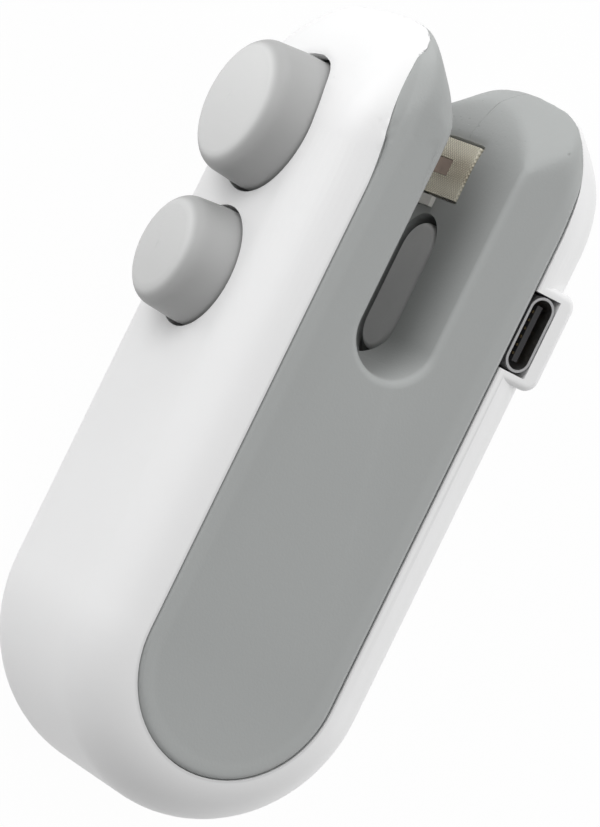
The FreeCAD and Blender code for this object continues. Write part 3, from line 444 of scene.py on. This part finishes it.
def masked_board(name):
    finish = Finish(name, IOR=1.5)
    spot = place(finish)
    x, _, z = millimetres(finish, spot)
    flat = finish.add("ShaderNodeCombineXYZ", sockets={0: x, 1: z})
    sockets = {"Vector": flat, "Scale": 0.25, "Mortar Size": 0.05, "Mortar Smooth": 0.3}
    tracks = finish.add("ShaderNodeTexBrick", {"offset": 0.5}, sockets, output=1)
    grain = noise(finish, spot, 0.5, 2.0)
    relief = bump(finish, tracks * 0.6 + grain * 0.2, 0.03)
    base = mix(finish, tracks, mask_green, track_green)
    return finish.wear(Base_Color=base, Roughness=0.3 + grain * 0.1, Normal=relief)


board_green = masked_board("board_green")
print("made", board_green.name)

# %% Finish of the cell
sleeve_end = (-2.6, -2.3)
bare_metal = (0.55, 0.55, 0.53)


def sleeve(name, colour):
    finish = Finish(name, IOR=1.5)
    spot = place(finish)
    x, _, _ = millimetres(finish, spot)
    crease = noise(finish, spot, 1.6, 3.0, (0.3, 1, 1))
    sleeved = 1 - rise(finish, x, *sleeve_end)
    film = mix(finish, crease, shade(colour, 0.85), shade(colour, 1.1))
    base = mix(finish, sleeved, bare_metal, film)
    relief = bump(finish, crease, 0.02)
    return finish.wear(Base_Color=base, Metallic=1 - sleeved, Roughness=0.28 + crease * 0.12, Normal=relief)


cell_sleeve = sleeve("cell_sleeve", (0.07, 0.22, 0.36))
print("made", cell_sleeve.name)

# %% [markdown]
# ## Putting the finishes on
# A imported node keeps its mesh. Its material slots take the new finish, so nothing is moved.

# %% Assign
finishes = {
    "housing": shell_white, "front_cover": cover_grey, "back_cover": cover_grey,
    "seal_button": seal_grey, "cut_button": cut_grey, "heater_tape": tape_beige,
    "circuit_board": board_green, "battery_cell": cell_sleeve,
}
finishes.update(moulded_finishes)
finishes.update(metal_finishes)
for name, node in nodes.items():
    node.data.materials.clear()
    node.data.materials.append(finishes[name])
print("finished:", len(finishes), "of", len(nodes))

# %% [markdown]
# ## Softer jaw tips
# The solids' jaw tips meet the slot in firm creases, but moulded tips are soft all round, and on the button
# side the grey cover wraps over the tip. So the three mouldings are remade. All three together are melted
# into one fine skin, which is smoothed at the tips, and a copy of each, cut finer there, is drawn onto that
# skin. The move depends on place alone, so the copies stay flush along the seam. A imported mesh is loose
# triangles, so a copy is merged first.

# %% Merged copies
tip_start = 0.024
skin_start = 0.032
weld_within = 1e-6


def merged_copy(name):
    """The node's mesh as a bmesh with its corners joined and its faces smooth."""
    shape = bmesh.new()
    shape.from_mesh(nodes[name].data)
    bmesh.ops.remove_doubles(shape, verts=shape.verts, dist=weld_within)
    for face in shape.faces:
        face.smooth = True
    return shape


def make_object(name, shape, material=None):
    """A new object at the origin, with the bmesh's faces and that finish."""
    mesh = bpy.data.meshes.new(name)
    shape.to_mesh(mesh)
    shape.free()
    if material:
        mesh.materials.append(material)
    made = bpy.data.objects.new(name, mesh)
    bpy.context.scene.collection.objects.link(made)
    return made


mouldings = {name: merged_copy(name) for name in ("housing", "front_cover", "back_cover")}
print("corners before cutting:", {name: len(shape.verts) for name, shape in mouldings.items()})

# %% [markdown]
# ## Finer faces in the tips
# A large flat face can't follow a soft form. Every edge in the tips that is longer than a short limit is
# halved, in a few turns, and the faces are made triangles again. First the firm edges are marked by the
# angle between their faces, and the plain copies are gathered in one mesh for the skin. In the tips only
# the firmest edges stay sharp.

# %% Mark the firm edges and cut the tips finer
firm_angle, firm_angle_in_tips = 0.5, 1.3
tip_edge = 0.0007
most_turns = 8


def mark_firm_edges(shape):
    """An edge is sharp where its faces meet at more than the limit, in radians."""
    for edge in shape.edges:
        limit = firm_angle if max(v.co.x for v in edge.verts) < skin_start else firm_angle_in_tips
        edge.smooth = len(edge.link_faces) == 2 and edge.calc_face_angle(0) < limit


def cut_finer(shape, longest):
    """Divides the long edges in the tips until none there is longer than that."""
    for turn in range(most_turns):
        long_edges = [edge for edge in shape.edges
                      if max(v.co.x for v in edge.verts) > tip_start and edge.calc_length() > longest]
        if not long_edges:
            break
        bmesh.ops.subdivide_edges(shape, edges=long_edges, cuts=1)
        bmesh.ops.triangulate(shape, faces=[face for face in shape.faces if len(face.verts) > 3])


together = bmesh.new()
for shape in mouldings.values():
    mark_firm_edges(shape)
    layer = bpy.data.meshes.new("layer")
    shape.to_mesh(layer)
    together.from_mesh(layer)
    bpy.data.meshes.remove(layer)
    cut_finer(shape, tip_edge)
print("corners of the copies:", {name: len(shape.verts) for name, shape in mouldings.items()})

# %% [markdown]
# ## One melted skin
# A voxel remesh wraps everything that touches in one closed skin, so the seams between the mouldings close.
# Only the tips are needed, so the rest of the skin is deleted.

# %% Melt the mouldings together
voxel = 0.00025
skin_margin = 0.002
melted = make_object("melted", together)
remesh = melted.modifiers.new("remesh", "REMESH")
remesh.mode = "VOXEL"
remesh.voxel_size = voxel
skin = bpy.data.meshes.new_from_object(melted.evaluated_get(bpy.context.evaluated_depsgraph_get()))
bpy.data.objects.remove(melted)
soft = bmesh.new()
soft.from_mesh(skin)
far_verts = [v for v in soft.verts if v.co.x < tip_start - skin_margin]
bmesh.ops.delete(soft, geom=far_verts, context="VERTS")
print("skin faces in the tips:", len(soft.faces))

# %% [markdown]
# ## Only the outside of the skin
# The remesh also lines the hollow inside, and a corner must not be drawn onto that. From each face a ray
# leaves along the normal and six more lean round it. On the outside most get away, or cross the slot to the
# other jaw. Inside, most are stopped. The first bit of each ray is skipped, because the voxels' own
# roughness would stop it.

# %% Delete the hidden faces
rays_around, rays_needed = 6, 4
ray_lean = 0.8
ray_skip, ray_length = 0.0006, 0.05
slot_middle_y = -0.0015
whole = BVHTree.FromBMesh(soft)


def is_open(face):
    """Whether most rays from the face get away, or cross the slot to the other jaw."""
    centre, normal = face.calc_center_median(), face.normal
    sideways = normal.orthogonal().normalized()
    beside = normal.cross(sideways)
    free = 0
    for turn in range(rays_around + 1):
        angle = turn * 2 * math.pi / rays_around
        tilt = (sideways * math.cos(angle) + beside * math.sin(angle)) * ray_lean
        ray = (normal + tilt if turn < rays_around else normal).normalized()
        hit = whole.ray_cast(centre + ray * ray_skip, ray, ray_length)[0]
        free += hit is None or (hit.y > slot_middle_y) != (centre.y > slot_middle_y)
    return free >= rays_needed


hidden = [face for face in soft.faces if not is_open(face)]
print("hidden faces:", len(hidden))
bmesh.ops.delete(soft, geom=hidden, context="FACES")

# %% [markdown]
# ## Smoothing the tips
# The jaw without buttons ends a little shorter than its solid, so that side is drawn back first. Then each
# corner of the skin moves halfway towards the middle of its neighbours, fifty times over. A search tree
# keeps the skin as it was, and another keeps it as it is now.

# %% Draw back and smooth the skin
draw_start, draw_end = 0.034, 0.042
draw_most = 0.0013
button_side_y = -0.001
smooth_turns = 50


def ramp(value, low, high):
    """0 below low, 1 above high, smooth between."""
    share = min(1.0, max(0.0, (value - low) / (high - low)))
    return share * share * (3 - 2 * share)


def draw_back(spot):
    """The tip away from the buttons is a little shorter than its solid."""
    share = ramp(spot.x, draw_start, draw_end) if spot.y < button_side_y else 0.0
    return Vector((spot.x - draw_most * share, spot.y, spot.z))


before = BVHTree.FromBMesh(soft)
for v in soft.verts:
    v.co = draw_back(v.co)
moving = [v for v in soft.verts if v.co.x > skin_start and not v.is_boundary]
for turn in range(smooth_turns):
    bmesh.ops.smooth_vert(soft, verts=moving, factor=0.5, use_axis_x=True, use_axis_y=True, use_axis_z=True)
after = BVHTree.FromBMesh(soft)
soft.free()
print("skin corners smoothed:", len(moving))

# %% [markdown]
# ## The seam on the button side
# On the button side more of the tip belongs to the grey cover, so the seam slides outwards there. The slide
# grows from nothing at the middle to its full reach at the seam, and shrinks to nothing again at the
# shell's side. It runs along the skin only, so the tip keeps its form. The numbers here are in millimetres.

# %% How far a spot slides
shell_half = 18.5
seam_inwards, seam_leans = 3.0, (30, 46)
slide_reach, slide_grows = 2.6, (24, 42)
slide_lost, slide_fades = 0.7, (40, 45)
least_room = 1.2


def slide(spot):
    """Where a spot of the tip goes as the seam moves outwards."""
    x, y = spot.x * 1000, spot.y * 1000
    side = math.sqrt(shell_half ** 2 - max(0.0, x - end_centre) ** 2)
    seam = seam_half - seam_inwards * ramp(x, *seam_leans)
    room = max(least_room, side - seam)
    reach = slide_reach * ramp(x, *slide_grows) * (1 - slide_lost * ramp(x, *slide_fades))
    share = min(y / seam, (side - y) / room) if y > 0 else 0.0
    return Vector((spot.x, spot.y + reach * max(0.0, share) / 1000, spot.z))


tip_spot = Vector((0.04, 0.011, 0.015))
print("a spot at the seam slides", round((slide(tip_spot) - tip_spot).length * 1000, 2), "mm")

# %% [markdown]
# ## Drawing the copies onto the skin
# A corner on the outside lands on the smoothed skin. A corner further in moves as its nearest outside spot
# does, and it is kept a little below the skin, so that nothing of the inside shows through. Deep inside
# nothing moves.

# %% Where a corner of a copy goes
near_skin = 0.0003
slide_depth = 0.0016
full_pull, no_pull = 0.003, 0.006
pull_grows = (skin_start, skin_start + 0.005)
depth_kept, depth_limit = 0.8, 0.0006


def onto_skin(spot):
    """The new place of a corner, from its old place alone."""
    foot, _, _, away = before.find_nearest(spot)
    start = spot if away < near_skin else foot
    flat = after.find_nearest(draw_back(spot))[1]
    shift = (slide(spot) - spot) * (1 - ramp(away, near_skin, slide_depth))
    shift -= flat * shift.dot(flat)
    there = draw_back(start + shift)
    landed = after.find_nearest(there)[0]
    share = (1 - ramp(away, full_pull, no_pull)) * ramp(spot.x, *pull_grows)
    goal = draw_back(spot + shift) + (landed - there) * share
    if away >= near_skin:
        foot, normal, _, _ = after.find_nearest(goal)
        least = depth_kept * min(away, depth_limit) * share
        if (foot - goal).dot(normal) < least:
            goal = foot - normal * least
    goal.z = min(max(goal.z, cad_box[0][2]), cad_box[1][2])
    return goal


print("that spot lands at", [round(v * 1000, 2) for v in onto_skin(tip_spot)])

# %% [markdown]
# ## Replacing the mouldings
# Each copy takes its node's finish and the node's place. All three belong to the casing, which doesn't move.

# %% Replace the three mouldings
for name, shape in mouldings.items():
    for v in shape.verts:
        if v.co.x > tip_start:
            v.co = onto_skin(v.co)
    piece = make_object(name + "_soft", shape, finishes[name])
    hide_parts(name)
    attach(piece, "casing")
    print(piece.name, "triangles", sum(len(p.vertices) - 2 for p in piece.data.polygons))

# %% [markdown]
# ## Springs that give
# A coil spring stands behind each button, with its foot on the casing. Pressing the button shortens it,
# which a rigid piece can't show. Here each spring is only swapped for a merged copy with a mesh of its own,
# fixed to the casing. The copy doesn't flatten as the button goes in.

# %% Copies of the springs
for name, joint in (("seal_spring", "seal_slide"), ("cut_spring", "cut_slide")):
    coil = make_object(name + "_coil", merged_copy(name), finishes[name])
    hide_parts(name)
    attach(coil, "casing")
    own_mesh(coil)

# %% [markdown]
# ## Floor
# The part lies on a wide white floor. To a camera ray, and to one that meets the floor in a reflection,
# most of the floor glows at a strength of 1, which is plain white. The rest of it is an ordinary matt
# surface, so the part's soft shadow stays.

# %% Floor
floor_half = 3.0
floor_colour = (0.9, 0.9, 0.9, 1)
glow_share = 0.97


def white_floor(name):
    finish = Finish(name, Roughness=0.9, Base_Color=floor_colour)
    path = finish.add("ShaderNodeLightPath").socket.node
    kinds = ("Is Camera Ray", "Is Glossy Ray", "Is Transmission Ray")
    camera_ray, glossy_ray, through_ray = [Reading(finish, path.outputs[kind]) for kind in kinds]
    seen = (camera_ray + glossy_ray + through_ray).math("MINIMUM", 1.0)
    glow = finish.add("ShaderNodeEmission", sockets={"Color": (1, 1, 1, 1), "Strength": 1.0})
    matt = Reading(finish, finish.shader.outputs[0])
    both = finish.add("ShaderNodeMixShader", sockets={0: seen * glow_share, 1: matt, 2: glow})
    finish.tree.links.new(both.socket, finish.tree.nodes["Material Output"].inputs[0])
    return finish.material


shape = bmesh.new()
bmesh.ops.create_grid(shape, x_segments=1, y_segments=1, size=floor_half)
floor = make_object("floor", shape, white_floor("floor_white"))
print("floor", [round(v, 2) for v in floor.dimensions])

# %% [markdown]
# ## Surroundings
# A plain pale world fills the shadows. The camera sees it pure white, but the part is lit by it at a lower
# strength, so that the white shell keeps its shades. The Standard view shows a colour as it is written.

# %% World and view
fill_strength = 0.37
world = bpy.data.worlds.new("studio")
world.use_nodes = True
bpy.context.scene.world = world
sky = world.node_tree
fill = sky.nodes["Background"]
fill.inputs["Color"].default_value = (1, 1, 1, 1)
fill.inputs["Strength"].default_value = fill_strength
white = sky.nodes.new("ShaderNodeBackground")
white.inputs["Color"].default_value = (1, 1, 1, 1)
white.inputs["Strength"].default_value = 1.0
rays = sky.nodes.new("ShaderNodeLightPath")
choose = sky.nodes.new("ShaderNodeMixShader")
sky.links.new(rays.outputs["Is Camera Ray"], choose.inputs[0])
sky.links.new(fill.outputs[0], choose.inputs[1])
sky.links.new(white.outputs[0], choose.inputs[2])
sky.links.new(choose.outputs[0], sky.nodes["World Output"].inputs[0])
bpy.context.scene.view_settings.view_transform = "Standard"
print("surroundings at strength", fill_strength)

# %% [markdown]
# ## Lamps
# Four soft boxes stand round the part: the key on the button side, a weaker one beyond the jaw tips, one
# above and one on the socket's side. Each is set by the level to which it lights a surface that faces it,
# so its power follows from its distance.

# %% Soft boxes
def lamp(name, towards, metres, size, level):
    """A square soft box that lights a surface facing it to that level, where 1 shows a colour as written."""
    data = bpy.data.lights.new(name, "AREA")
    data.shape = "SQUARE"
    data.size = size
    # One pi is for the lamp's own spread of its light and one for the surface's.
    data.energy = level * math.pi ** 2 * metres ** 2
    box = bpy.data.objects.new(name, data)
    bpy.context.scene.collection.objects.link(box)
    direction = Vector(towards).normalized()
    facing = direction.to_track_quat("Z", "Y").to_matrix().to_4x4()
    box.matrix_world = Matrix.Translation(target + direction * metres) @ facing
    print(name, "at", [round(v, 2) for v in box.matrix_world.translation], "energy", round(data.energy, 2))


lamp("key_box", towards=(0.5, 0.9, 0.40), metres=1.0, size=0.6, level=0.47)
lamp("tip_box", towards=(1.0, 0.1, 0.2), metres=0.9, size=0.5, level=0.24)
lamp("top_box", towards=(0.5, 0.0, 1.0), metres=0.6, size=0.4, level=0.20)
lamp("right_box", towards=(0.1, -1.0, 0.35), metres=0.8, size=0.6, level=0.36)
